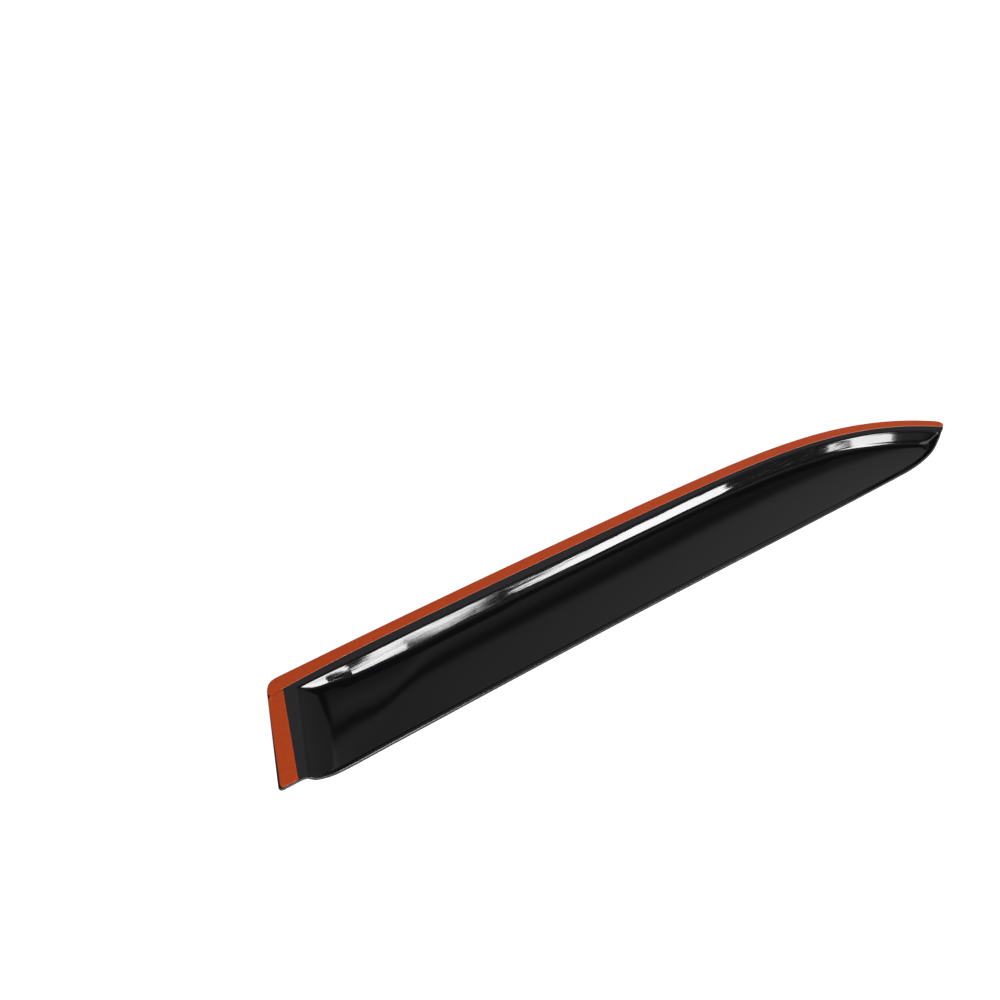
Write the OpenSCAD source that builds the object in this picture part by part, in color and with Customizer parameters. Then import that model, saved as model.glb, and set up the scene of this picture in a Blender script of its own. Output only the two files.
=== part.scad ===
// Window rain deflector for a rear side door.
// A dished acrylic visor with a flat flange on two sides, two strips of
// foam tape on the flanges and a peel-off liner on each strip.
// It lies on its crowned outer face, dish up, with the flanges level.
// X runs from the wide end to the tip, Y from the front edge to the back edge.

/* [Visor] */
// Length of the visor from its front end corner to its tip
visor_length = 700; // [620:1:780]
// Width of the visor at its wide end
end_width = 102.6; // [95:0.1:125]
// Thickness of the acrylic sheet
sheet_t = 2.5; // [2:0.1:3]
// Depth of the dish below the flanges
dish_depth = 13; // [11:0.5:17]

/* [Outline] */
// Lean of the end edge, in degrees
end_lean = 25.25; // [15:0.25:30]
// Distance that the end flange stays back from the front edge
end_setback = 2.8; // [0:0.1:5]
// Length over which that distance runs out
setback_length = 12; // [8:0.5:20]
// Radius of the long curve of the back edge
back_radius = 11000; // [8000:100:20000]
// Fall of the back edge for each mm of length, at the wide end
back_slope = 0.0065; // [0:0.0005:0.015]
// Length over which the back edge bends down to the tip
bend_length = 384; // [340:1:420]
// Fall of the back edge in that bend
bend_fall = 50; // [40:1:56]
// Sharpness of that bend
bend_power = 5.8; // [4.5:0.1:7]
// Bow of the front edge, inwards at its middle
front_bow = 1.8; // [0:0.1:4]
// Distance from the tip at which the bow has ended
bow_end = 100; // [80:5:160]
// Bulge of the front edge beside the end flange
front_bulge = 0.8; // [0:0.1:3]
// Length over which that bulge dies out
bulge_length = 70; // [50:5:120]
// Length over which the front edge turns up to the tip
lift_length = 62; // [45:1:75]
// Rise of the front edge in that turn
lift_rise = 15.2; // [10:0.1:18]
// Sharpness of that turn
lift_power = 2.3; // [2:0.1:3]
// Reach of the rounding at the back end corner
back_corner = 10; // [6:0.5:14]
// Reach of the rounding at the front end corner
front_corner = 6; // [3:0.5:9]
// Reach of the rounding at the tip
tip_corner = 7.6; // [5:0.1:12]

/* [Flanges and walls] */
// Width of the back flange along most of its length
back_flange = 16.2; // [14:0.1:20]
// Width of the back flange near the tip
tip_flange = 11.3; // [10:0.1:14]
// Distance from the tip at which the back flange starts to narrow
narrow_from = 400; // [300:5:450]
// Distance from the tip at which it has narrowed
narrow_to = 100; // [70:5:140]
// Width of the end flange
end_flange = 22.5; // [20:0.5:28]
// Slope of the wall along the back flange, in degrees
back_wall_angle = 60; // [45:1:65]
// Radius of that wall's shoulder
back_shoulder_r = 3; // [2.9:0.1:4]
// Radius of that wall's foot
back_foot_r = 8; // [5:0.5:9]
// Slope of the wall along the end flange, in degrees
end_wall_angle = 42; // [32:1:45]
// Radius of that wall's shoulder
end_shoulder_r = 5; // [4:0.5:7]
// Radius of that wall's foot
end_foot_r = 35; // [20:1:36]
// Length of the flat nose beyond the dish
nose_length = 9; // [6:0.5:12]
// Length over which the dish runs out to the nose
nose_ramp = 22; // [20:1:60]
// Sharpness of the corners where the walls meet
wall_meet = 3; // [2:0.5:4]

/* [Rim and crown] */
// Width of the turned-up rim along the front edge
rim_width = 4; // [3:0.1:6]
// Rise of the rim at the front edge
rim_rise = 1.4; // [0.5:0.1:2]
// Softness of the crease between the rim and the dish
rim_crease = 0.8; // [0.6:0.1:1.6]
// Radius of the dish across its width
crown_radius = 700; // [500:10:1200]
// Distance of the dish's lowest line from the front edge
crown_line = 47.5; // [44:0.5:56]

/* [Tapes and liners] */
// Width of the back strip, from the back edge
back_tape_w = 10.4; // [9:0.1:12]
// Width of the back strip at the tip
tip_tape_w = 7; // [6:0.1:9]
// Extra width of the back strip towards the wide end
tape_flare = 6.5; // [0:0.5:9]
// Length over which the back strip widens
flare_length = 160; // [120:5:200]
// Width of the end strip at the front, from the end edge
end_tape_w = 16.1; // [12:0.1:18]
// Width of the end strip where it meets the back strip
end_tape_back_w = 13.1; // [10:0.1:15]
// Bare edge outside the strips
tape_inset = 0.4; // [0.3:0.1:1.5]
// Extra bare edge outside the end strip, at the front
end_tape_skew = 1.5; // [0:0.1:2]
// Gap between the two strips
tape_gap = 0.4; // [0.2:0.1:1]
// Radius of the open notch where the two strips meet at the end edge
tape_notch = 2.2; // [1:0.1:3]
// Thickness of the foam tape
tape_t = 1; // [0.6:0.1:1.6]
// Thickness of the liner film
liner_t = 0.15; // [0.1:0.05:0.3]

/* [Smoothness] */
// Ribs along the dish
dish_ribs = 40; // [30:1:48]
// Steps in each rounded corner
corner_steps = 6; // [4:1:8]
// Steps in each bent shoulder or foot
arc_steps = 3; // [2:1:4]
// Steps across the open floor of the dish
floor_steps = 8; // [6:1:10]

/* [Hidden] */

acrylic = [0.05, 0.05, 0.055];
foam = [0.75, 0.75, 0.73];
film = [0.78, 0.29, 0.12];

// Level of the flanges' upper face, and of the foam's top
flange_z = sheet_t + dish_depth;
foam_top_z = flange_z + tape_t;

function smooth(t) = let (c = min(max(t, 0), 1)) c * c * (3 - 2 * c);
function lerp(a, b, t) = a + (b - a) * t;

// Wall in section: a shoulder arc, a straight slope and a foot arc.
// A wall is [angle, shoulder radius, foot radius].
back_wall = [back_wall_angle, back_shoulder_r, back_foot_r];
end_wall = [end_wall_angle, end_shoulder_r, end_foot_r];
function run(wall) =
    let (radii = wall[1] + wall[2])
    radii * sin(wall[0]) + (dish_depth - radii * (1 - cos(wall[0]))) / tan(wall[0]);
function arc_drop(d, r) = r - sqrt(r * r - d * d);
function drop(d, wall) =
    let (whole = run(wall), left = whole - d)
    d <= 0 ? 0
    : left <= 0 ? dish_depth
    : d < wall[1] * sin(wall[0]) ? arc_drop(d, wall[1])
    : left < wall[2] * sin(wall[0]) ? dish_depth - arc_drop(left, wall[2])
    : wall[1] * (1 - cos(wall[0])) + (d - wall[1] * sin(wall[0])) * tan(wall[0]);

// Distances at which a wall is sampled, from the start of its shoulder
function wall_steps(wall) = concat(
    [for (k = [0 : arc_steps]) wall[1] * sin(wall[0] * k / arc_steps)],
    [for (k = [arc_steps : -1 : 0]) run(wall) - wall[2] * sin(wall[0] * k / arc_steps)]
);

// Back edge: a long arc with a bend that steepens towards the tip
function back_y(x) =
    let (t = max(0, (x - visor_length + bend_length) / bend_length))
    end_width - back_slope * x - x * x / (2 * back_radius) - bend_fall * pow(t, bend_power);

// Front edge: set back at the end flange, then a slight bulge, a slight bow
// inwards and a turn up to the tip
function front_y(x) =
    let (
        past = x - end_flange,
        share = min(max(past / (visor_length - bow_end - end_flange), 0), 1),
        t = max(0, (x - visor_length + lift_length) / lift_length)
    )
    end_setback * (1 - smooth(past / setback_length))
    - front_bulge * (smooth(past / setback_length) - smooth((past - setback_length) / bulge_length))
    + front_bow * pow(4 * share * (1 - share), 2)
    + lift_rise * pow(t, lift_power);

function on_back(x) = [x, back_y(x)];
function on_front(x) = [x, front_y(x)];
function back_normal(x) = let (v = [back_y(x - 0.5) - back_y(x + 0.5), 1]) v / norm(v);
function front_normal(x) = let (v = [front_y(x - 0.5) - front_y(x + 0.5), 1]) v / norm(v);

// Sharp corners of the outline, before they are rounded
end_dir = [sin(end_lean), cos(end_lean)];
front_end = [end_setback * tan(end_lean), end_setback];
back_end = on_back(back_y(end_width * tan(end_lean)) * tan(end_lean));
function crossing(low, high, steps) =
    let (mid = (low + high) / 2)
    steps == 0 ? mid
    : back_y(mid) > front_y(mid) ? crossing(mid, high, steps - 1)
    : crossing(low, mid, steps - 1);
tip = on_front(crossing(visor_length - lift_length, visor_length + lift_length, 24));

function flange_w(x) =
    lerp(back_flange, tip_flange, smooth((x - visor_length + narrow_from) / (narrow_from - narrow_to)));

// Upper face of the visor: the flange plane, sunk by the walls into a dish
// that has a crowned floor and a turned-up rim
function sunk(x, y) =
    let (
        from_back = (back_y(x) - y) * back_normal(x).y,
        from_end = x * cos(end_lean) - y * sin(end_lean)
    )
    meet([
        drop(from_back - flange_w(x), back_wall) / dish_depth,
        drop(from_end - end_flange, end_wall) / dish_depth,
        smooth((tip.x - nose_length - x) / nose_ramp)
    ]);

// The least of several shares, rounded off where two of them are alike
function meet(shares) =
    min(shares) <= 0 ? 0
    : pow(sum([for (s = shares) pow(s, -wall_meet) - 1]) + 1, -1 / wall_meet);
function sum(list, i = 0) = i == len(list) ? 0 : list[i] + sum(list, i + 1);
function height(x, y) =
    let (
        inside = (y - front_y(x)) * front_normal(x).y - rim_width,
        rise = rim_rise * (sqrt(inside * inside + rim_crease * rim_crease) - inside) / (2 * rim_width),
        crown = pow(y - crown_line, 2) / (2 * crown_radius)
    )
    flange_z + sunk(x, y) * (rise + crown - dish_depth);
function upper(p) = [p.x, p.y, height(p.x, p.y)];

// Lower face: one sheet thickness away, square to the upper face
function lower(p) =
    let (
        h = 0.25,
        fall_x = (height(p.x - h, p.y) - height(p.x + h, p.y)) / (2 * h),
        fall_y = (height(p.x, p.y - h) - height(p.x, p.y + h)) / (2 * h),
        up = [fall_x, fall_y, 1]
    )
    upper(p) - up * sheet_t / norm(up);

// Rounded corner from a to b, drawn towards the sharp corner k
function rounded(a, k, b, t) = (1 - t) * (1 - t) * a + 2 * t * (1 - t) * k + t * t * b;

// Ribs are pairs of plan points, one on the front edge and one on the back
front_round = on_front(front_end.x + front_corner);
back_round = on_back(back_end.x + back_corner);
end_ribs = [for (i = [0 : corner_steps]) let (t = i / corner_steps) [
    rounded(front_end + front_corner * end_dir, front_end, front_round, t),
    rounded(back_end - back_corner * end_dir, back_end, back_round, t)
]];

// Ribs beside the end flange keep a set distance from the end edge
function rib_at(d) =
    let (back_x = (d + end_width * sin(end_lean)) / cos(end_lean))
    [
        on_front((d + front_y(d) * sin(end_lean)) / cos(end_lean)),
        on_back((d + back_y(back_x) * sin(end_lean)) / cos(end_lean))
    ];
flange_rib = rib_at((back_corner * cos(end_lean) + end_flange) / 2);
wall_ribs = [for (d = wall_steps(end_wall)) rib_at(end_flange + d)];

// Ribs along the dish come closer together towards the tip
dish_start = wall_ribs[len(wall_ribs) - 1];
tip_front = on_front(tip.x - tip_corner);
tip_back = on_back(tip.x - tip_corner);
long_ribs = [for (i = [1 : dish_ribs]) let (u = i / dish_ribs, t = u * (1.5 - 0.5 * u)) [
    on_front(lerp(dish_start[0].x, tip_front.x, t)),
    on_back(lerp(dish_start[1].x, tip_back.x, t))
]];
tip_ribs = [for (i = [1 : corner_steps]) let (t = 0.44 * i / corner_steps) [
    rounded(tip_front, tip, tip_back, t),
    rounded(tip_back, tip, tip_front, t)
]];
ribs = concat(end_ribs, [flange_rib], wall_ribs, long_ribs, tip_ribs);

// Distances of the grid lines from the front edge
front_steps = [
    0, (rim_width - rim_crease) / 2, rim_width - rim_crease, rim_width - rim_crease / 3,
    rim_width + rim_crease / 3, rim_width + rim_crease, rim_width + 2.5 * rim_crease
];

// Plan points along one rib, squeezed together where the visor gets narrow
function rib_points(rib) =
    let (
        width = norm(rib[1] - rib[0]),
        dir = (rib[1] - rib[0]) / width,
        front_lean = dir * front_normal(rib[0].x),
        back_lean = dir * back_normal(rib[1].x),
        near = [for (d = front_steps) d / front_lean],
        far = [for (d = wall_steps(back_wall)) (flange_w(rib[1].x) + d) / back_lean],
        near_end = near[len(near) - 1],
        far_end = far[len(far) - 1],
        squeeze = min(1, width / (near_end + far_end + floor_steps)),
        floor_w = width - (near_end + far_end) * squeeze,
        stops = concat(
            near * squeeze,
            [for (i = [1 : floor_steps - 1]) near_end * squeeze + floor_w * i / floor_steps],
            [for (i = [len(far) - 1 : -1 : 0]) width - far[i] * squeeze],
            [width]
        )
    )
    [for (d = stops) rib[0] + dir * d];

plan = [for (rib = ribs) rib_points(rib)];
rows = len(plan);
cols = len(plan[0]);
upper_points = [for (row = plan, p = row) upper(p)];
lower_points = [for (row = plan, p = row) lower(p)];

// Two triangles for each cell of the grid, seen from above
function cell(a, b, c, d) = [[a, b, c], [a, c, d]];
function flipped(faces) = [for (f = faces) [f[2], f[1], f[0]]];
function shifted(faces, n) = [for (f = faces) [f[0] + n, f[1] + n, f[2] + n]];
sheet_faces = [for (i = [0 : rows - 2], j = [0 : cols - 2])
    each cell(i * cols + j, i * cols + j + 1, (i + 1) * cols + j + 1, (i + 1) * cols + j)];

// Grid numbers round the outline, from the front end corner by the wide end
edge = concat(
    [for (j = [0 : cols - 2]) j],
    [for (i = [0 : rows - 2]) i * cols + cols - 1],
    [for (j = [cols - 1 : -1 : 1]) (rows - 1) * cols + j],
    [for (i = [rows - 1 : -1 : 1]) i * cols]
);
under = rows * cols;
edge_faces = [for (k = [0 : len(edge) - 1])
    let (a = edge[k], b = edge[(k + 1) % len(edge)])
    each cell(a, a + under, b + under, b)];

// The origin is under the middle of the visor, on the surface it lies on
outline = [for (k = edge) [upper_points[k].x, upper_points[k].y]];
sheet_points = concat(upper_points, lower_points);
function middle(values) = (min(values) + max(values)) / 2;
centre = [
    middle([for (p = sheet_points) p.x]),
    middle([for (p = sheet_points) p.y]),
    min([for (p = sheet_points) p.z])
];

// Inner edge of the back strip
function strip_w(x) =
    let (share = x / visor_length, flare = max(0, 1 - x / flare_length))
    lerp(back_tape_w, tip_tape_w, pow(share, 5)) + tape_flare * flare * flare;
function strip_edge(x) = on_back(x) - back_normal(x) * strip_w(x);
strip_ends = [back_end.x / 2, tip.x];
strip_line = [for (i = [0 : 2 * dish_ribs])
    strip_edge(lerp(strip_ends[0], strip_ends[1], i / (2 * dish_ribs)))];

// A point at a distance from the end edge, level with y
function beside_end(d, y) = [(d + y * sin(end_lean)) / cos(end_lean), y];
joint = strip_edge(strip_edge(back_end.x).y * tan(end_lean));

module in_place() {
    translate(-centre) children();
}

module strip_area() {
    offset(delta = -tape_inset) polygon(outline);
}

module back_side(gap = 0) {
    past = end_width / 2;
    offset(delta = gap)
        polygon(concat(strip_line, [[tip.x + past, end_width + past], [-past, end_width + past]]));
}

module open_notch() {
    translate(joint) circle(r = tape_notch, $fn = 24);
}

module back_strip() {
    difference() {
        intersection() {
            strip_area();
            back_side();
        }
        open_notch();
    }
}

module end_strip() {
    difference() {
        intersection() {
            strip_area();
            polygon([
                beside_end(tape_inset + end_tape_skew, 0),
                beside_end(0, joint.y),
                beside_end(0, end_width),
                beside_end(end_tape_back_w, end_width),
                beside_end(end_tape_back_w, joint.y),
                beside_end(end_tape_w, 0)
            ]);
        }
        back_side(tape_gap);
        open_notch();
    }
}

module visor() {
    color(acrylic) in_place()
        polyhedron(
            points = sheet_points,
            faces = concat(sheet_faces, shifted(flipped(sheet_faces), under), edge_faces),
            convexity = 6
        );
}

module back_tape() {
    color(foam) in_place() translate([0, 0, flange_z]) linear_extrude(tape_t) back_strip();
}

module end_tape() {
    color(foam) in_place() translate([0, 0, flange_z]) linear_extrude(tape_t) end_strip();
}

module back_liner() {
    color(film) in_place() translate([0, 0, foam_top_z]) linear_extrude(liner_t) back_strip();
}

module end_liner() {
    color(film) in_place() translate([0, 0, foam_top_z]) linear_extrude(liner_t) end_strip();
}

visor();
back_tape();
end_tape();
back_liner();
end_liner();
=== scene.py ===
import bpy
import numpy as np
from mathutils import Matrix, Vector


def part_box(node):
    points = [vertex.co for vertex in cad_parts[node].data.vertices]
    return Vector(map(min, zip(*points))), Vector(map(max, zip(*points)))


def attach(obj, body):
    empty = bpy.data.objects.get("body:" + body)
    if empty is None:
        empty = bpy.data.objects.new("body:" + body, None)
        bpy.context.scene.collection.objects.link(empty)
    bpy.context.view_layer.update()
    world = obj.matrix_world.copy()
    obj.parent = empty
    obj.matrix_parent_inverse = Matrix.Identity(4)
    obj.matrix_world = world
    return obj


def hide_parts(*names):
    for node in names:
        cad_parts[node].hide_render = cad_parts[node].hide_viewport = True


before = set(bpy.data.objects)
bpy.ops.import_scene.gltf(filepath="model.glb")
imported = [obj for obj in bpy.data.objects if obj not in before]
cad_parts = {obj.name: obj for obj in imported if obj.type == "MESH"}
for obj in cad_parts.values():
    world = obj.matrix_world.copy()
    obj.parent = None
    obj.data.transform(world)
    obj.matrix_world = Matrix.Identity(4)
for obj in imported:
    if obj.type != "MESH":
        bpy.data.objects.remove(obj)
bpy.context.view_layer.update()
mm = 0.001
print("frame loaded:", ", ".join(sorted(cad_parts)))


# small helpers for arrays of points

def smoothStep(t):
    # 0 up to t = 0, 1 from t = 1, and three squares less two cubes between them
    c = np.clip(t, 0, 1)
    return c * c * (3 - 2 * c)


def mix(a, b, t):
    # a at t = 0 and b at t = 1, in a straight line
    return a + (b - a) * t


def bezier(a, corner, b, t):
    # quadratic curve from a to b, pulled towards the sharp corner
    t = np.asarray(t)[:, None]
    return (1 - t) ** 2 * a + 2 * t * (1 - t) * corner + t * t * b


def unit(v):
    # each vector over its own length
    return v / np.linalg.norm(v, axis=-1, keepdims=True)


def ripple(x, y, waves):
    # sum of sine waves, each given as (length along x, length along y, phase, height)
    return sum(h * np.sin(2 * np.pi * (x / lx + y / ly) + p) for lx, ly, p, h in waves)


# the visor: its outline and face are functions of the plan position, in mm

shell = {
    "length": 700.0, "endWidth": 102.6, "sheet": 2.5, "dish": 13.0,
    "endLean": np.radians(25.25), "endSetback": 2.8, "setbackLength": 12.0,
    "backRadius": 11000.0, "backSlope": 0.0065,
    "bendLength": 384.0, "bendFall": 50.0, "bendPower": 5.8,
    "frontBow": 1.8, "bowEnd": 100.0, "frontBulge": 0.8, "bulgeLength": 70.0,
    "liftLength": 62.0, "liftRise": 15.2, "liftPower": 2.3,
    "backCorner": 10.0, "frontCorner": 6.0, "tipCorner": 7.6,
    "backFlange": 16.2, "tipFlange": 11.3, "narrowFrom": 400.0, "narrowTo": 100.0,
    # wallMeet is the power that rounds off the line where two walls meet
    "endFlange": 22.5, "noseLength": 9.0, "noseRamp": 22.0, "wallMeet": 3.0,
    "rimWidth": 4.0, "rimRise": 1.4, "rimCrease": 0.8, "rimFade": 4.0,
    "crownRadius": 700.0, "crownLine": 47.5,
    # a gentle slope fills the corner behind a line across the floor
    "foldFrom": np.array([74.0, 3.0]), "foldTo": np.array([151.0, 51.0]),
    "foldSlope": 0.06, "foldRound": 7.0,
    # the rounded edge, and how far in from it the plan is drawn in to leave it room
    "edgeRadius": 0.5, "drawReach": 6.0,
    # how many degrees the back wall leans back from its angle, at distances along the visor
    "ease": ((70, -3), (92, -3), (100, 2), (115, 12), (165, 12), (234, 5), (260, 3.6), (265, 2.4),
             (274, 1.6), (300, 1.2), (340, 0.6), (365, 0), (488, 0), (504, 4), (588, 4), (604, 0)),
    "backWall": {
        "angle": np.radians(60), "shoulder": 3.0, "foot": 8.0,
        "sweep": 700.0, "sweepAngle": np.radians(3.6),
    },
    "endWall": {
        "angle": np.radians(42), "shoulder": 5.0, "foot": 35.0,
        "sweep": 300.0, "sweepAngle": np.radians(3.0),
    },
}
flangeTop = shell["sheet"] + shell["dish"]
leanCos, leanSin = np.cos(shell["endLean"]), np.sin(shell["endLean"])


def wallParts(wall, ease=0):
    # plan length and depth of each part: shoulder arc, straight slope, foot arc and a long shallow sweep;
    # an arc of radius r that turns from angle a to b is r (sin a - sin b) long and r (cos b - cos a) deep
    angle, last = wall["angle"] - ease, wall["sweepAngle"]
    shoulder = wall["shoulder"] * np.sin(angle), wall["shoulder"] * (1 - np.cos(angle))
    foot = wall["foot"] * (np.sin(angle) - np.sin(last)), wall["foot"] * (np.cos(last) - np.cos(angle))
    sweep = wall["sweep"] * np.sin(last), wall["sweep"] * (1 - np.cos(last))
    depth = shell["dish"] - shoulder[1] - foot[1] - sweep[1]
    return shoulder, (depth / np.tan(angle), depth), foot, sweep


def wallRun(wall, ease=0):
    # plan length of the whole wall
    return sum(part[0] for part in wallParts(wall, ease))


def wallDrop(d, wall, ease=0):
    # how far the face has dropped at distance d down the wall, 0 to the dish's depth
    shoulder, slope, foot, sweep = wallParts(wall, ease)
    r, footR, sweepR, deep = wall["shoulder"], wall["foot"], wall["sweep"], shell["dish"]
    left = wallRun(wall, ease) - d
    fromAxis = left - sweep[0] + footR * np.sin(wall["sweepAngle"])
    shoulderArc = r - np.sqrt(np.maximum(r * r - np.clip(d, 0, r) ** 2, 0))
    straight = shoulder[1] + (d - shoulder[0]) * slope[1] / slope[0]
    footArc = deep - sweep[1] - footR * np.cos(wall["sweepAngle"]) + np.sqrt(
        np.maximum(footR * footR - np.clip(fromAxis, 0, footR) ** 2, 0))
    sweepArc = deep - sweepR + np.sqrt(sweepR * sweepR - np.clip(left, 0, sweep[0]) ** 2)
    lower = np.where(left < sweep[0], sweepArc, np.where(left < sweep[0] + foot[0], footArc, straight))
    return np.where(d <= 0, 0, np.where(d < shoulder[0], shoulderArc, lower))


def backY(x):
    # long arc with a power bend that steepens towards the tip
    t = np.maximum(0, (x - shell["length"] + shell["bendLength"]) / shell["bendLength"])
    arc = shell["backSlope"] * x + x * x / (2 * shell["backRadius"])
    return shell["endWidth"] - arc - shell["bendFall"] * t ** shell["bendPower"]


def frontY(x):
    # set back at the end flange, then a slight bulge, a slight bow inwards and a turn up to the tip
    past = x - shell["endFlange"]
    along = np.clip(past / (shell["length"] - shell["bowEnd"] - shell["endFlange"]), 0, 1)
    lift = np.maximum(0, (x - shell["length"] + shell["liftLength"]) / shell["liftLength"])
    forward = smoothStep(past / shell["setbackLength"])
    fading = smoothStep((past - shell["setbackLength"]) / shell["bulgeLength"])
    return (shell["endSetback"] * (1 - forward) - shell["frontBulge"] * (forward - fading)
            + shell["frontBow"] * (4 * along * (1 - along)) ** 2
            + shell["liftRise"] * lift ** shell["liftPower"])


def edgeNormal(edge, x):
    # plan direction square to an edge given as y over x, towards +Y
    rise = edge(x - 0.5) - edge(x + 0.5)
    return np.stack([rise, np.ones_like(rise)], -1) / np.sqrt(rise * rise + 1)[..., None]


def onBack(x):
    # plan point of the back edge at x
    return np.stack([x, backY(x)], -1)


def onFront(x):
    # plan point of the front edge at x
    return np.stack([x, frontY(x)], -1)


def besideEnd(d, y):
    # plan point at distance d from the leaning end edge, at height y
    return np.stack([(d + y * leanSin) / leanCos, y + 0 * d], -1)


def fromEnd(x, y):
    # distance from the leaning end edge, which passes through zero
    return x * leanCos - y * leanSin


def fromBack(x, y):
    # distance from the back edge, measured square to it
    return (backY(x) - y) * edgeNormal(backY, x)[..., 1]


tipScan = np.linspace(shell["length"] - shell["liftLength"], shell["length"] + shell["liftLength"], 20001)
tipX = float(np.interp(0, (frontY(tipScan) - backY(tipScan)), tipScan))
tip = onFront(np.array(tipX))


def flangeWidth(x):
    # the back flange narrows towards the tip by a smooth step
    span = shell["narrowFrom"] - shell["narrowTo"]
    narrowed = smoothStep((x - shell["length"] + shell["narrowFrom"]) / span)
    return mix(shell["backFlange"], shell["tipFlange"], narrowed)


def wallEase(x):
    # how far the back wall leans back at x, in a straight line between the listed places
    return np.radians(np.interp(x, *np.transpose(shell["ease"])))


def sunkShare(x, y):
    # 0 on the flanges, 1 in the open dish: the least of three shares, rounded off where they meet
    back = wallDrop(fromBack(x, y) - flangeWidth(x), shell["backWall"], wallEase(x)) / shell["dish"]
    end = wallDrop(fromEnd(x, y) - shell["endFlange"], shell["endWall"]) / shell["dish"]
    nose = smoothStep((tipX - shell["noseLength"] - x) / shell["noseRamp"])
    least = np.minimum(np.minimum(back, end), nose)
    powers = sum(np.maximum(part, 1e-6) ** -shell["wallMeet"] for part in (back, end, nose)) - 2
    return np.where(least <= 1e-6, 0, powers ** (-1 / shell["wallMeet"]))


def foldRise(x, y):
    # slope times the distance past the fold line, with a hyperbola as the bend
    along = unit(shell["foldTo"] - shell["foldFrom"])
    past = (y - shell["foldFrom"][1]) * along[0] - (x - shell["foldFrom"][0]) * along[1]
    return shell["foldSlope"] * (past + np.sqrt(past ** 2 + shell["foldRound"] ** 2)) / 2


def faceZ(x, y):
    # flange plane, sunk into a dish with a crowned floor and a turned-up rim
    inside = (y - frontY(x)) * edgeNormal(frontY, x)[..., 1] - shell["rimWidth"]
    upturn = (np.sqrt(inside ** 2 + shell["rimCrease"] ** 2) - inside) / (2 * shell["rimWidth"])
    crown = (y - shell["crownLine"]) ** 2 / (2 * shell["crownRadius"])
    rise = shell["rimRise"] * upturn + crown + foldRise(x, y)
    return flangeTop + sunkShare(x, y) * (rise - shell["dish"])


def faceNormal(x, y):
    # from the face's slope over a small distance each way
    h = 0.2
    fallX = (faceZ(x - h, y) - faceZ(x + h, y)) / (2 * h)
    fallY = (faceZ(x, y - h) - faceZ(x, y + h)) / (2 * h)
    return unit(np.stack([fallX, fallY, np.ones_like(fallX)], -1))


# closed sheets: an upper and a lower grid joined by a rounded edge

def ringNumbers(rows, cols):
    # grid numbers once round the border, anticlockwise from above for a grid with rows along +X
    grid = np.arange(rows * cols).reshape(rows, cols)
    return np.concatenate([grid[:-1, 0], grid[-1, :-1], grid[:0:-1, -1], grid[0, :0:-1]])


def gridFaces(rows, cols):
    # four corners of each cell, anticlockwise from above
    grid = np.arange(rows * cols).reshape(rows, cols)
    return np.stack([grid[:-1, :-1], grid[1:, :-1], grid[1:, 1:], grid[:-1, 1:]], -1).reshape(-1, 4)


def ringOut(points):
    # level direction that points away from the sheet at each border point
    ahead = np.roll(points, -1, 0) - np.roll(points, 1, 0)
    return unit(np.stack([ahead[:, 1], -ahead[:, 0], 0 * ahead[:, 0]], -1))


def closedSheet(name, upper, lower, radius, steps):
    # upper and lower are (rows, cols, 3); the edge is a quarter arc, a flat and a quarter arc
    rows, cols = upper.shape[:2]
    top, under = upper.reshape(-1, 3), lower.reshape(-1, 3)
    border = ringNumbers(rows, cols)
    out = ringOut(top[border])
    through = unit(top[border] - under[border])
    out = unit(out - through * (out * through).sum(-1, keepdims=True))
    turn = np.linspace(0, np.pi / 2, steps + 1)[1:, None, None]
    upperArc = top[border] + radius * (out * np.sin(turn) - through * (1 - np.cos(turn)))
    lowerArc = (under[border] + radius * (out * np.sin(turn) + through * (1 - np.cos(turn))))[::-1]
    places = np.concatenate([top, under, upperArc.reshape(-1, 3), lowerArc.reshape(-1, 3)])
    sheetPoints, around = rows * cols, len(border)
    arcs = 2 * sheetPoints + np.arange(2 * steps * around).reshape(2 * steps, around)
    rings = np.concatenate([border[None], arcs, border[None] + sheetPoints])
    after = np.roll(rings, -1, 1)
    edge = np.stack([rings[:-1], rings[1:], after[1:], after[:-1]], -1).reshape(-1, 4)
    cells = gridFaces(rows, cols)
    faces = np.concatenate([cells, cells[:, ::-1] + sheetPoints, edge])
    mesh = bpy.data.meshes.new(name)
    mesh.from_pydata(((places - origin) * mm).tolist(), [], faces.tolist())
    mesh.polygons.foreach_set("use_smooth", np.ones(len(faces), bool))
    mesh.update()
    piece = bpy.data.objects.new(name, mesh)
    bpy.context.scene.collection.objects.link(piece)
    return piece


# ribs across the visor, from the front edge to the back edge

ribs = {
    # ribs along the visor, crowded by this share towards the tip, and how much of the nose they cover
    "corner": 8, "flange": 5, "wall": 22, "sweep": 10, "long": 240, "tip": 12,
    "crowding": 0.35, "noseCover": 0.44,
    # points along each rib, and the most of a short rib that flange and wall may take
    "rim": 12, "floor": 26, "slope": 24, "band": 6, "wallMost": 0.9,
    # steps round an edge
    "edge": 4,
}


def downTheWall(wall):
    # distances close together on the steep part and further apart on the sweep
    run = wallRun(wall)
    steep = run - wallParts(wall)[3][0]
    steps = ribs["wall"] if wall is shell["endWall"] else ribs["slope"]
    sweepStops = np.linspace(steep, run, ribs["sweep"] + 1)[1:]
    return np.concatenate([np.linspace(0, steep, steps + 1), sweepStops])


endWay = np.array([leanSin, leanCos])
inwardEnd = np.array([leanCos, -leanSin])
frontEnd = np.array([shell["endSetback"] * leanSin / leanCos, shell["endSetback"]])
backEndX = shell["endWidth"] * leanSin / leanCos
backEndX = float(backY(np.array(backEndX)) * leanSin / leanCos)
backEnd = onBack(np.array(backEndX))


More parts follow.
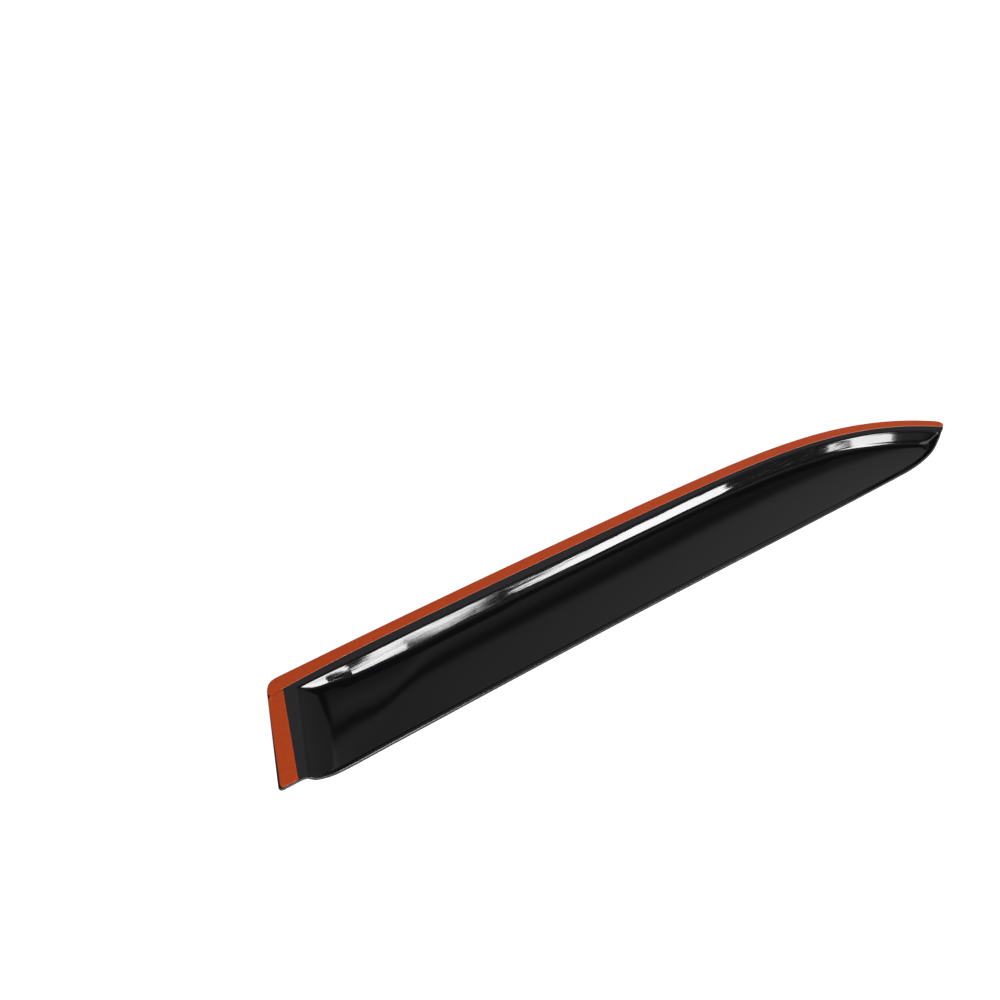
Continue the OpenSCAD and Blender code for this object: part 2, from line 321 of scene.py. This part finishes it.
def ribFeet(d):
    # where a line at distance d from the end edge meets the front and the back edge
    frontX = (d + frontY(d) * leanSin) / leanCos
    backX = (d + shell["endWidth"] * leanSin) / leanCos
    backX = (d + backY(backX) * leanSin) / leanCos
    return onFront(frontX), onBack(backX)


cornerT = np.linspace(0, 1, ribs["corner"] + 1)
cornerFeet = (
    bezier(frontEnd + shell["frontCorner"] * endWay, frontEnd,
           onFront(np.array(frontEnd[0] + shell["frontCorner"])), cornerT),
    bezier(backEnd - shell["backCorner"] * endWay, backEnd,
           onBack(np.array(backEndX + shell["backCorner"])), cornerT),
)
wallFrom = shell["endFlange"]
flangeFeet = ribFeet(np.linspace(shell["backCorner"] * leanCos, wallFrom, ribs["flange"] + 2)[1:-1])
wallFeet = ribFeet(wallFrom + downTheWall(shell["endWall"]))
tipFeet = (onFront(np.array(tipX - shell["tipCorner"])), onBack(np.array(tipX - shell["tipCorner"])))
evenly = np.linspace(0, 1, ribs["long"] + 1)[1:]
crowded = evenly * (1 + ribs["crowding"] * (1 - evenly))
longFeet = (
    onFront(mix(wallFeet[0][-1, 0], tipFeet[0][0], crowded)),
    onBack(mix(wallFeet[1][-1, 0], tipFeet[1][0], crowded)),
)
noseT = ribs["noseCover"] * np.linspace(0, 1, ribs["tip"] + 1)[1:]
noseFeet = (bezier(tipFeet[0], tip, tipFeet[1], noseT), bezier(tipFeet[1], tip, tipFeet[0], noseT))
feet = [np.concatenate([group[k] for group in (cornerFeet, flangeFeet, wallFeet, longFeet, noseFeet)])
        for k in (0, 1)]

# points along each rib: the rim from the front edge, the wall and flange from the back edge, floor between
width = np.linalg.norm(feet[1] - feet[0], axis=1)[:, None]
way = (feet[1] - feet[0]) / width
frontLean = (way * edgeNormal(frontY, feet[0][:, 0])).sum(1)[:, None]
backLean = (way * edgeNormal(backY, feet[1][:, 0])).sum(1)[:, None]
rimStops = np.linspace(0, 1, ribs["rim"] + 1) * (shell["rimWidth"] + shell["rimFade"])
near = rimStops[None] / frontLean
wallStops = downTheWall(shell["backWall"])[::-1]
flange = flangeWidth(feet[1][:, 0])[:, None]
bandStops = np.linspace(1, 0, ribs["band"] + 1)[1:]
far = np.concatenate([flange + wallStops[None], flange * bandStops[None]], 1) / backLean
# where a rib is short, the rim and the sweep are squeezed first, and the steep wall only near the nose
steep = far[:, ribs["sweep"]][:, None]
steepSqueeze = np.minimum(1, ribs["wallMost"] * width / steep)
wanted = near[:, -1:] + far[:, :1] - steep + ribs["floor"] / 2
squeeze = np.minimum(1, (width - steep * steepSqueeze) / wanted)
near = near * squeeze
far = steepSqueeze * (np.minimum(far, steep) + squeeze * np.maximum(far - steep, 0))
floorFrom, floorTo = near[:, -1:], width - far[:, :1]
floorStops = np.linspace(0, 1, ribs["floor"] + 1)[1:-1]
stops = np.concatenate([near, mix(floorFrom, floorTo, floorStops[None]), width - far], 1)
plan = feet[0][:, None] + way[:, None] * stops[..., None]


def drawnIn(plan, amount, reach):
    # moves the plan points near the outline inwards, to leave room for the rounded edge
    x, y = plan[..., 0], plan[..., 1]
    depths = y - frontY(x), fromBack(x, y), fromEnd(x, y), plan[..., 0].max() - x
    pull = [amount * np.clip(1 - depth / reach, 0, 1) for depth in depths]
    ways = [edgeNormal(frontY, x), -edgeNormal(backY, x), inwardEnd, np.array([-1.0, 0.0])]
    return plan + sum(p[..., None] * w for p, w in zip(pull, ways))


def lifted(plan, z):
    # plan points with a height
    return np.concatenate([plan, np.broadcast_to(z, plan.shape[:-1])[..., None]], -1)


# the frame's origin in the plan's own measures
planHigh = np.array([plan[..., 0].max(), plan[..., 1].max(), flangeTop])
origin = planHigh - np.array(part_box("visor")[1]) / mm

inner = drawnIn(plan, shell["edgeRadius"], shell["drawReach"])
innerX, innerY = inner[..., 0], inner[..., 1]
upper = lifted(inner, faceZ(innerX, innerY))
lower = upper - shell["sheet"] * faceNormal(innerX, innerY)
visor = closedSheet("visorShell", upper, lower, shell["edgeRadius"], ribs["edge"])
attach(visor, "root")
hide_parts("visor")


marks = {
    # how far into the dish the flange's rougher finish and its painted sheen fade, and the steepness where
    # the walls' streaks come in
    "flangeFade": 0.03, "steepFrom": 0.05, "steepFade": 0.15,
    # the streaks fade towards the tip by this share
    "calmFrom": 560.0, "calmLength": 70.0, "calmShare": 0.8,
    # how well a mesh normal has to agree with the face to be replaced by the face's own
    "agreement": 0.95,
}


def markFinishAndSheen(piece):
    # flangeShare is 1 on the flat flanges and 0 in the dish and lays on the flanges' rougher finish and
    # painted sheen, streakShare is 1 on the steep walls, and the inner face is shaded with the surface's own
    # normals
    mesh = piece.data
    places = np.empty(len(mesh.vertices) * 3)
    meshed = np.empty_like(places)
    mesh.vertices.foreach_get("co", places)
    mesh.vertices.foreach_get("normal", meshed)
    x, y = (places.reshape(-1, 3) / mm + origin).T[:2]
    exact = faceNormal(x, y)
    onFace = (meshed.reshape(-1, 3) * exact).sum(1) > marks["agreement"]
    mesh.normals_split_custom_set_from_vertices(exact * onFace[:, None])
    steepness = smoothStep((1 - exact[:, 2] - marks["steepFrom"]) / marks["steepFade"])
    calm = 1 - marks["calmShare"] * smoothStep((x - marks["calmFrom"]) / marks["calmLength"])
    shares = {
        "flangeShare": 1 - smoothStep(sunkShare(x, y) / marks["flangeFade"]),
        "streakShare": calm * steepness,
    }
    for name, value in shares.items():
        mesh.attributes.new(name, "FLOAT", "POINT").data.foreach_set("value", value.astype(np.float32))


markFinishAndSheen(visor)
print("visor:", plan.shape[0], "ribs of", plan.shape[1], "points")


# the foam tapes and the films that cover them

strips = {
    "backWidth": 10.4, "tipWidth": 7.0, "flare": 6.5, "flareLength": 160.0,
    "endWidth": 16.1, "endBackWidth": 13.1, "inset": 0.4, "endSkew": 1.425,
    "gap": 0.4, "notch": 2.2, "foam": 1.0, "film": 0.15, "notchCut": 3.2, "tipCut": 0.5,
    "foamInset": 0.65, "foamRadius": 0.25, "filmRadius": 0.07,
    "filmWaves": ((61.0, 400.0, 0.4, 0.02), (23.0, -90.0, 1.9, 0.012), (139.0, 60.0, 2.7, 0.02)),
    # steps of the paths along the end, back and front edges, round their corners and round an edge
    "endSteps": 24, "backSteps": 239, "frontSteps": 14, "turnSteps": 12, "edgeSteps": 3,
    # the back strip's path starts this high on the end edge and runs this far past the tip's corner
    "pathFrom": 50.0, "pathPast": 14.0,
    # steps of the end strip's short ends
    "cornerSteps": 7, "lineSteps": 11,
    # points across each piece
    "across": {"backFoam": 5, "endFoam": 24, "backFilm": 7, "endFilm": 30},
}


def stripWidth(x):
    # narrows with the fifth power of x, and flares with a square towards the wide end
    flare = np.maximum(0, 1 - x / strips["flareLength"])
    narrowed = mix(strips["backWidth"], strips["tipWidth"], (x / shell["length"]) ** 5)
    return narrowed + strips["flare"] * flare ** 2


def stripLine(x, extra=0.0):
    # the back strip's inner edge, or a line further in by extra
    return onBack(x) - edgeNormal(backY, x) * (stripWidth(x) + extra)[..., None]


def cornerShift(normalA, byA, normalB, byB):
    # moves a corner inwards by one distance from each of its two edges
    return np.linalg.solve(np.array([normalA, normalB]), np.array([byA, byB]))


def insetCorner(a, corner, b, normalA, byA, normalB, byB, t):
    # the curve from a round the corner to b, with both edges moved inwards
    moved = corner + cornerShift(normalA, byA, normalB, byB)
    return bezier(a + byA * normalA, moved, b + byB * normalB, t)


def footOnBack(points):
    # where the perpendicular from each point meets the back edge
    x, depth = points[:, 0], fromBack(points[:, 0], points[:, 1])
    for _ in range(3):
        x = points[:, 0] + edgeNormal(backY, x)[:, 0] * depth
    return x


def backStripRibs(g, extra):
    # outer path, g inside the edge: up the end edge, round the corner, along the back edge, round the tip;
    # it is cut where it crosses the strip's inner edge, and each rib is square to the back edge
    cornerX, tipBackX, tipFrontX = np.array(backEndX + shell["backCorner"]), tipFeet[1][0], tipFeet[0][0]
    belowCorner = backEnd - shell["backCorner"] * endWay
    turn = np.linspace(0, 1, strips["turnSteps"] + 1)
    endY = np.linspace(strips["pathFrom"], belowCorner[1], strips["endSteps"] + 1)[:-1]
    backX = np.linspace(cornerX, tipBackX, strips["backSteps"] + 1)[1:-1]
    frontX = np.linspace(tipFrontX, tipFrontX - strips["pathPast"], strips["frontSteps"] + 1)[1:]
    outer = np.concatenate([
        besideEnd(g + 0 * endY, endY),
        insetCorner(belowCorner, backEnd, onBack(cornerX),
                    inwardEnd, g, -edgeNormal(backY, cornerX), g, turn),
        onBack(backX) - g * edgeNormal(backY, backX),
        insetCorner(tipFeet[1], tip, tipFeet[0],
                    -edgeNormal(backY, tipBackX), g, edgeNormal(frontY, tipFrontX), g, turn),
        onFront(frontX) + g * edgeNormal(frontY, frontX),
    ])
    order = np.arange(len(outer))
    half = len(outer) // 2
    cut = np.where(order < half, strips["notchCut"], strips["tipCut"])
    beyond = fromBack(outer[:, 0], outer[:, 1]) - stripWidth(outer[:, 0]) - extra + cut
    first = np.interp(0, -beyond[:half], order[:half])
    last = np.interp(0, beyond[half:], order[half:])
    at = np.concatenate([[first], order[(order > first + 0.2) & (order < last - 0.2)], [last]])
    outer = np.stack([np.interp(at, order, outer[:, k]) for k in (0, 1)], -1)
    return stripLine(footOnBack(outer), extra), outer


def endStripRibs(g):
    # front path: round the front end corner and along the front edge; back path: notch and gap
    outerBy = strips["endSkew"] + g
    more = g - strips["inset"]
    jointX = backEndX
    for _ in range(3):
        jointX = stripLine(np.array(jointX))[1] * leanSin / leanCos
    joint = stripLine(np.array(jointX))
    cornerFrontX = np.array(frontEnd[0] + shell["frontCorner"])
    turn = np.linspace(0, 1, strips["cornerSteps"] + 1)
    corner = insetCorner(frontEnd + shell["frontCorner"] * endWay, frontEnd, onFront(cornerFrontX),
                         inwardEnd, outerBy, edgeNormal(frontY, cornerFrontX), g, turn)
    innerFront = besideEnd(np.array(strips["endWidth"] - more), np.array(shell["endSetback"]))
    frontX = np.linspace(corner[-1, 0], innerFront[0], strips["lineSteps"] + 1)[1:]
    front = np.concatenate([corner, onFront(frontX) + np.array([0, g])])
    radius, gap = strips["notch"] + more, strips["gap"] + more
    along = stripLine(np.array(jointX + 1.0)) - joint
    start = np.arctan2(-leanCos, -leanSin) + np.arcsin(g / radius)
    end = np.arctan2(along[1], along[0]) - np.arcsin(gap / radius)
    angle = np.linspace(start, end, strips["cornerSteps"] + 1)
    notch = joint + radius * np.stack([np.cos(angle), np.sin(angle)], -1)
    innerBack = besideEnd(np.array(strips["endBackWidth"] - more), joint[1])
    lineX = np.linspace(notch[-1, 0], innerBack[0], strips["lineSteps"] + 1)[1:]
    return front, np.concatenate([notch, stripLine(lineX, gap)])


def strip(name, pair, base, thick, radius, waves):
    # plan ribs from one path to the other, lifted to a level face with slight waves
    across = np.linspace(0, 1, strips["across"][name])
    grid = mix(pair[0][:, None], pair[1][:, None], across[None, :, None])
    wave = ripple(grid[..., 0], grid[..., 1], waves) if waves else 0
    upper, lower = lifted(grid, base + thick + wave), lifted(grid, base)
    piece = closedSheet(name, upper, lower, radius, strips["edgeSteps"])
    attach(piece, "root")
    return piece


filmBase = flangeTop + strips["foam"]
foamEdge = strips["inset"] + strips["foamInset"]
foamLook = flangeTop, strips["foam"], strips["foamRadius"], ()
filmLook = filmBase, strips["film"], strips["filmRadius"], strips["filmWaves"]
backFoam = strip("backFoam", backStripRibs(foamEdge, -strips["foamInset"]), *foamLook)
endFoam = strip("endFoam", endStripRibs(foamEdge), *foamLook)
backFilm = strip("backFilm", backStripRibs(strips["inset"], 0.0), *filmLook)
endFilm = strip("endFilm", endStripRibs(strips["inset"]), *filmLook)
for piece, node, slot in ((backFoam, "back_tape", "foam"), (endFoam, "end_tape", "foam"),
                          (backFilm, "back_liner", "liner"), (endFilm, "end_liner", "liner")):
    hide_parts(node)
print("tapes and films done")


# finishes

def newMaterial(name):
    # a material with its nodes, links and main shader
    material = bpy.data.materials.new(name)
    material.use_nodes = True
    nodes = material.node_tree.nodes
    return material, nodes, material.node_tree.links, nodes["Principled BSDF"]


def fineGrain():
    # group: stretch and scale in, the height of soft uneven grain on object coordinates out
    group = bpy.data.node_groups.new("fineGrain", "ShaderNodeTree")
    face = group.interface
    face.new_socket("Stretch", in_out="INPUT", socket_type="NodeSocketVector")
    face.new_socket("Scale", in_out="INPUT", socket_type="NodeSocketFloat")
    face.new_socket("Height", in_out="OUTPUT", socket_type="NodeSocketFloat")
    nodes, links = group.nodes, group.links
    entry, leave = nodes.new("NodeGroupInput"), nodes.new("NodeGroupOutput")
    place = nodes.new("ShaderNodeTexCoord")
    stretch = nodes.new("ShaderNodeVectorMath")
    stretch.operation = "MULTIPLY"
    noise = nodes.new("ShaderNodeTexNoise")
    noise.inputs["Detail"].default_value = 3.0
    links.new(place.outputs["Object"], stretch.inputs[0])
    links.new(entry.outputs["Stretch"], stretch.inputs[1])
    links.new(stretch.outputs["Vector"], noise.inputs["Vector"])
    links.new(entry.outputs["Scale"], noise.inputs["Scale"])
    links.new(noise.outputs["Fac"], leave.inputs["Height"])
    return group


grainGroup = fineGrain()


def grain(nodes, stretch, scale):
    # the grain group with a material's own values
    node = nodes.new("ShaderNodeGroup")
    node.node_tree = grainGroup
    node.inputs["Stretch"].default_value = stretch
    node.inputs["Scale"].default_value = scale
    return node.outputs["Height"]


def bump(nodes, links, height, strength, distance, normal=None):
    # the strength is a number or a socket
    node = nodes.new("ShaderNodeBump")
    if isinstance(strength, bpy.types.NodeSocket):
        links.new(strength, node.inputs["Strength"])
    else:
        node.inputs["Strength"].default_value = strength
    node.inputs["Distance"].default_value = distance
    links.new(height, node.inputs["Height"])
    if normal is not None:
        links.new(normal, node.inputs["Normal"])
    return node.outputs["Normal"]


def mapped(nodes, links, value, low, high, toLow, toHigh):
    # carries the range low to high over to toLow to toHigh, and stops at its ends
    node = nodes.new("ShaderNodeMapRange")
    for socket, number in (("From Min", low), ("From Max", high), ("To Min", toLow), ("To Max", toHigh)):
        node.inputs[socket].default_value = number
    links.new(value, node.inputs["Value"])
    return node.outputs["Result"]


def blended(nodes, links, share, low, high):
    # one colour at share 0 and the other at share 1
    colour = nodes.new("ShaderNodeMix")
    colour.data_type = "RGBA"
    colour.inputs[6].default_value = low
    colour.inputs[7].default_value = high
    links.new(share, colour.inputs[0])
    return colour.outputs[2]


def attribute(nodes, name):
    node = nodes.new("ShaderNodeAttribute")
    node.attribute_name = name
    return node.outputs["Fac"]


even = (1, 1, 1)
acrylic = {
    # the flange's lighter grey is a painted sheen; flange and dish are the same black acrylic
    "dishColour": (0.0035, 0.0035, 0.004, 1), "flangeSheenColour": (0.021, 0.021, 0.023, 1),
    "dishRoughness": 0.075, "flangeRoughness": 0.4, "ior": 1.49,
    # streaks along the walls, weaker on the floor, with a rubbed look on the highest grain
    "streakStretch": (4.0, 60.0, 60.0), "streakScale": 7.0, "streakDepth": 0.00005,
    "floorStreaks": 0.12, "rubFrom": 0.53, "rubTo": 0.64, "rubRoughness": 0.05,
    "peelScale": 220.0, "peelDepth": 0.000003,
}


def acrylicMaterial():
    material, nodes, links, shader = newMaterial("blackAcrylic")
    shader.inputs["IOR"].default_value = acrylic["ior"]
    flange, wall = attribute(nodes, "flangeShare"), attribute(nodes, "streakShare")
    # the lighter flange colour paints in the flange's sheen
    colour = blended(nodes, links, flange, acrylic["dishColour"], acrylic["flangeSheenColour"])
    links.new(colour, shader.inputs["Base Color"])
    rough = mapped(nodes, links, flange, 0, 1, acrylic["dishRoughness"], acrylic["flangeRoughness"])
    streaks = grain(nodes, acrylic["streakStretch"], acrylic["streakScale"])
    rubbed = mapped(nodes, links, streaks, acrylic["rubFrom"], acrylic["rubTo"], 0, acrylic["rubRoughness"])
    onWall = nodes.new("ShaderNodeMath")
    onWall.operation = "MULTIPLY_ADD"
    for socket, value in zip(onWall.inputs, (rubbed, wall, rough)):
        links.new(value, socket)
    links.new(onWall.outputs["Value"], shader.inputs["Roughness"])
    peel = bump(nodes, links, grain(nodes, even, acrylic["peelScale"]), 1.0, acrylic["peelDepth"])
    streaky = mapped(nodes, links, wall, 0, 1, acrylic["floorStreaks"], 1)
    links.new(bump(nodes, links, streaks, streaky, acrylic["streakDepth"], peel), shader.inputs["Normal"])
    return material


film = {
    "colour": (0.66, 0.072, 0.0045, 1), "deepColour": (0.60, 0.062, 0.0035, 1), "roughness": 0.27,
    "cloudScale": 260.0, "cloudFrom": 0.3, "cloudTo": 0.7,
    "grainScale": 900.0, "grainDepth": 0.00003, "grainStrength": 0.6,
}


def filmMaterial():
    material, nodes, links, shader = newMaterial("orangeFilm")
    cloud = grain(nodes, even, film["cloudScale"])
    share = mapped(nodes, links, cloud, film["cloudFrom"], film["cloudTo"], 0, 1)
    colour = blended(nodes, links, share, film["deepColour"], film["colour"])
    links.new(colour, shader.inputs["Base Color"])
    shader.inputs["Roughness"].default_value = film["roughness"]
    fine = grain(nodes, even, film["grainScale"])
    normal = bump(nodes, links, fine, film["grainStrength"], film["grainDepth"])
    links.new(normal, shader.inputs["Normal"])
    return material


foam = {
    "colour": (0.26, 0.26, 0.255, 1), "poreColour": (0.19, 0.19, 0.185, 1), "roughness": 0.9,
    "poreScale": 1500.0, "poreDepth": 0.0001, "poreStrength": 0.8, "poreFrom": 0.35, "poreTo": 0.6,
}


def foamMaterial():
    material, nodes, links, shader = newMaterial("greyFoam")
    pores = grain(nodes, even, foam["poreScale"])
    share = mapped(nodes, links, pores, foam["poreFrom"], foam["poreTo"], 0, 1)
    colour = blended(nodes, links, share, foam["poreColour"], foam["colour"])
    links.new(colour, shader.inputs["Base Color"])
    shader.inputs["Roughness"].default_value = foam["roughness"]
    normal = bump(nodes, links, pores, foam["poreStrength"], foam["poreDepth"])
    links.new(normal, shader.inputs["Normal"])
    return material


visor.data.materials.append(acrylicMaterial())
orange, grey = filmMaterial(), foamMaterial()
for piece in (backFilm, endFilm):
    piece.data.materials.append(orange)
for piece in (backFoam, endFoam):
    piece.data.materials.append(grey)
print("materials done")


# floor, sky, lamps and camera

studio = {
    "floorSize": 24.0, "floorColour": (0.86, 0.86, 0.86, 1), "floorGlow": 0.8, "floorRoughness": 0.8,
    # radiance by the angle above the sky's edge, where the sky's pole leans towards +X
    "skyPole": (0.313, 0, 0.95),
    "sky": ((0, 0.55), (7, 0.50), (14.5, 0.08), (43, 0.06), (46, 0.50), (49, 0.33), (58.4, 0.30),
            (59.7, 0.06), (61.3, 0.03), (63, 0.24), (65, 0.32), (68, 0.12), (70, 0.03), (90, 0.03)),
    # the sky brightens towards +X, and above the dip it fades out there
    "brightenFrom": 0.30, "brightenTo": 0.56, "brightenBy": (0.78, 1.75),
    "fadeFrom": 0.36, "fadeTo": 0.50, "fadeHeight": 0.885, "fadeEdge": 0.005, "fadeDepth": 0.08,
    # an even panel to the side, by azimuth from +Y, and a low one all along +Y, both only behind the part
    "panelAzimuth": 48.0, "panelSoftness": 0.06, "panelReach": 0.5, "panelEdge": 0.05, "panelRadiance": 0.24,
    "lowPanelTop": 0.24, "lowPanelEdge": 0.04, "lowPanelRadiance": 0.42,
    "behindFrom": -0.05, "behindTo": 0.1,
}


def makeFloor():
    half = studio["floorSize"] / 2
    mesh = bpy.data.meshes.new("floor")
    corners = [(-half, -half, 0), (half, -half, 0), (half, half, 0), (-half, half, 0)]
    mesh.from_pydata(corners, [], [(0, 1, 2, 3)])
    floor = bpy.data.objects.new("floor", mesh)
    bpy.context.scene.collection.objects.link(floor)
    material, _, _, shader = newMaterial("paleFloor")
    shader.inputs["Base Color"].default_value = studio["floorColour"]
    shader.inputs["Roughness"].default_value = studio["floorRoughness"]
    shader.inputs["Emission Color"].default_value = (1, 1, 1, 1)
    shader.inputs["Emission Strength"].default_value = studio["floorGlow"]
    mesh.materials.append(material)


def aim(thing, place, target):
    # stands a lamp or camera at a place and turns it to the target
    thing.location = place
    thing.rotation_euler = (Vector(target) - Vector(place)).to_track_quat("-Z", "Y").to_euler()


def areaLight(name, place, target, size, radiance):
    # a rectangle of even radiance, in W per square metre and steradian
    lamp = bpy.data.lights.new(name, "AREA")
    lamp.shape = "RECTANGLE"
    lamp.size, lamp.size_y = size
    lamp.energy = radiance * np.pi * size[0] * size[1]
    thing = bpy.data.objects.new(name, lamp)
    bpy.context.scene.collection.objects.link(thing)
    aim(thing, place, target)


def makeSky():
    # the radiance is a ramp on the height of each direction above the sky's edge, shaped sideways
    world = bpy.data.worlds.new("studioSky")
    bpy.context.scene.world = world
    world.use_nodes = True
    nodes, links = world.node_tree.nodes, world.node_tree.links
    way = nodes.new("ShaderNodeTexCoord").outputs["Generated"]
    split = nodes.new("ShaderNodeSeparateXYZ")
    links.new(way, split.inputs["Vector"])

    def along(direction):
        dot = nodes.new("ShaderNodeVectorMath")
        dot.operation = "DOT_PRODUCT"
        dot.inputs[1].default_value = direction
        links.new(way, dot.inputs[0])
        return dot.outputs["Value"]

    def combined(operation, a, b):
        node = nodes.new("ShaderNodeMath")
        node.operation = operation
        links.new(a, node.inputs[0])
        links.new(b, node.inputs[1])
        return node.outputs["Value"]

    height, sideways = along(studio["skyPole"]), split.outputs["X"]
    ramp = nodes.new("ShaderNodeValToRGB")
    stops = ramp.color_ramp.elements
    stops.remove(stops[1])
    for k, (angle, radiance) in enumerate(studio["sky"]):
        stop = stops[0] if k == 0 else stops.new(np.sin(np.radians(angle)))
        stop.color = (radiance, radiance, radiance, 1)
    links.new(height, ramp.inputs["Fac"])

    brighter = mapped(nodes, links, sideways, studio["brightenFrom"], studio["brightenTo"],
                      *studio["brightenBy"])
    faded = mapped(nodes, links, sideways, studio["fadeFrom"], studio["fadeTo"], 1, studio["fadeDepth"])
    high, soft = studio["fadeHeight"], studio["fadeEdge"]
    below = mapped(nodes, links, height, high - soft, high + soft, 1, 0)
    kept = combined("MAXIMUM", faded, below)
    links.new(combined("MULTIPLY", brighter, kept), nodes["Background"].inputs["Strength"])

    turn = np.radians(studio["panelAzimuth"])
    past = along((np.cos(turn), -np.sin(turn), 0))
    side = mapped(nodes, links, past, 0, studio["panelSoftness"], 0, 1)
    near, soft = studio["panelReach"], studio["panelEdge"]
    reach = mapped(nodes, links, sideways, near - soft, near + soft, 0, 1)
    top, soft = studio["lowPanelTop"], studio["lowPanelEdge"]
    low = mapped(nodes, links, split.outputs["Z"], top - soft, top, 1, 0)
    behind = mapped(nodes, links, split.outputs["Y"], studio["behindFrom"], studio["behindTo"], 0, 1)

    def over(mask, radiance, colour):
        layer = nodes.new("ShaderNodeMix")
        layer.data_type = "RGBA"
        layer.inputs[7].default_value = (radiance / studio["brightenBy"][1],) * 3 + (1,)
        links.new(combined("MULTIPLY", mask, behind), layer.inputs[0])
        links.new(colour, layer.inputs[6])
        return layer.outputs[2]

    colour = over(low, studio["lowPanelRadiance"], ramp.outputs["Color"])
    colour = over(combined("MULTIPLY", side, reach), studio["panelRadiance"], colour)
    links.new(colour, nodes["Background"].inputs["Color"])


makeFloor()
makeSky()
lights = {
    "key": {
        "place": (-1.2, -1.0, 3.2), "target": (0, 0, 0),
        "size": (1.9, 1.9), "radiance": 2.0,
    },
    # low strip and upright box: the bright stretches on the back wall
    "wallStrip": {
        "place": (0.36, -1.45, 0.225), "target": (-0.2, 0.04, 0.01),
        "size": (0.9, 0.17), "radiance": 23.0,
    },
    "wallBox": {
        "place": (0.275, -1.3, 0.812), "target": (-0.19, 0.04, 0.01),
        "size": (0.236, 0.72), "radiance": 23.0,
    },
    # the stretch near the tip
    "tipStrip": {
        "place": (0.14, -1.45, 0.40), "target": (0.3, -0.01, 0.01),
        "size": (0.37, 0.22), "radiance": 20.0,
    },
}
for name, lamp in lights.items():
    areaLight(name, lamp["place"], lamp["target"], lamp["size"], lamp["radiance"])

view = {
    "target": (-0.023456, 0.128828, 0.0), "distance": 1.9520, "azimuth": np.radians(-34.6394),
    "elevation": np.radians(45.0), "lens": 80.0, "sensor": 36.0,
}
back = np.array([np.sin(view["azimuth"]) * np.cos(view["elevation"]),
                 -np.cos(view["azimuth"]) * np.cos(view["elevation"]), np.sin(view["elevation"])])
camera = bpy.data.objects.new("camera", bpy.data.cameras.new("camera"))
bpy.context.scene.collection.objects.link(camera)
camera.data.lens, camera.data.sensor_width = view["lens"], view["sensor"]
aim(camera, np.array(view["target"]) + view["distance"] * back, view["target"])
bpy.context.scene.camera = camera
bpy.context.scene.view_settings.view_transform = "Standard"
print("studio done")
